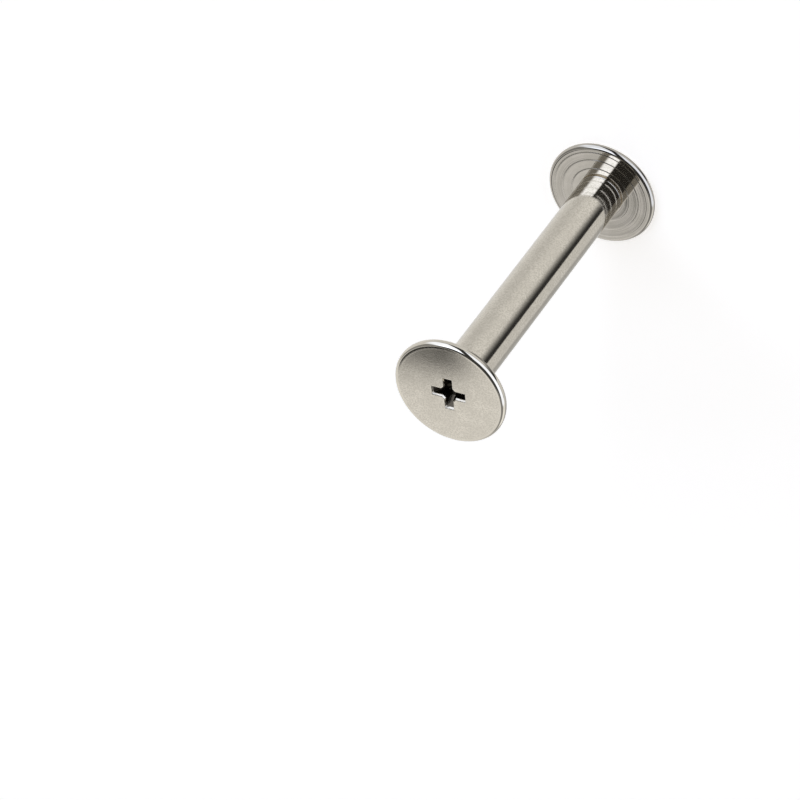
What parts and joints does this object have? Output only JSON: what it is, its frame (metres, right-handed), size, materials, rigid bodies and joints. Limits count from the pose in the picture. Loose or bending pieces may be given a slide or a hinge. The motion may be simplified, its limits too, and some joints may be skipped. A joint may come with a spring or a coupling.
{
  "type": "binding barrel screw",
  "caption": "Two-piece binding screw: flat-headed barrel with a tapped bore, closed by a flat-headed screw, both with cross recesses.",
  "frame": {"origin": "centre of the outer face of the screw's head, which the part stands on", "axes": "+Z along the common axis, from the screw's head to the barrel's head; +X along one pair of wings of the cross recesses"},
  "size_m": [0.0122, 0.0122, 0.0373],
  "materials": {
    "barrel_nickel": "satin-bright nickel plate over steel",
    "screw_nickel": "bright turned nickel plate over steel"
  },
  "bodies": {
    "screw": {"screw": "screw_nickel"},
    "barrel": {"barrel": "barrel_nickel"}
  },
  "joints": [
    {"name": "unscrew", "type": "slide", "parent": "screw", "child": "barrel", "axis": [0, 0, 1], "range_m": [0, 0.0098]}
  ]
}
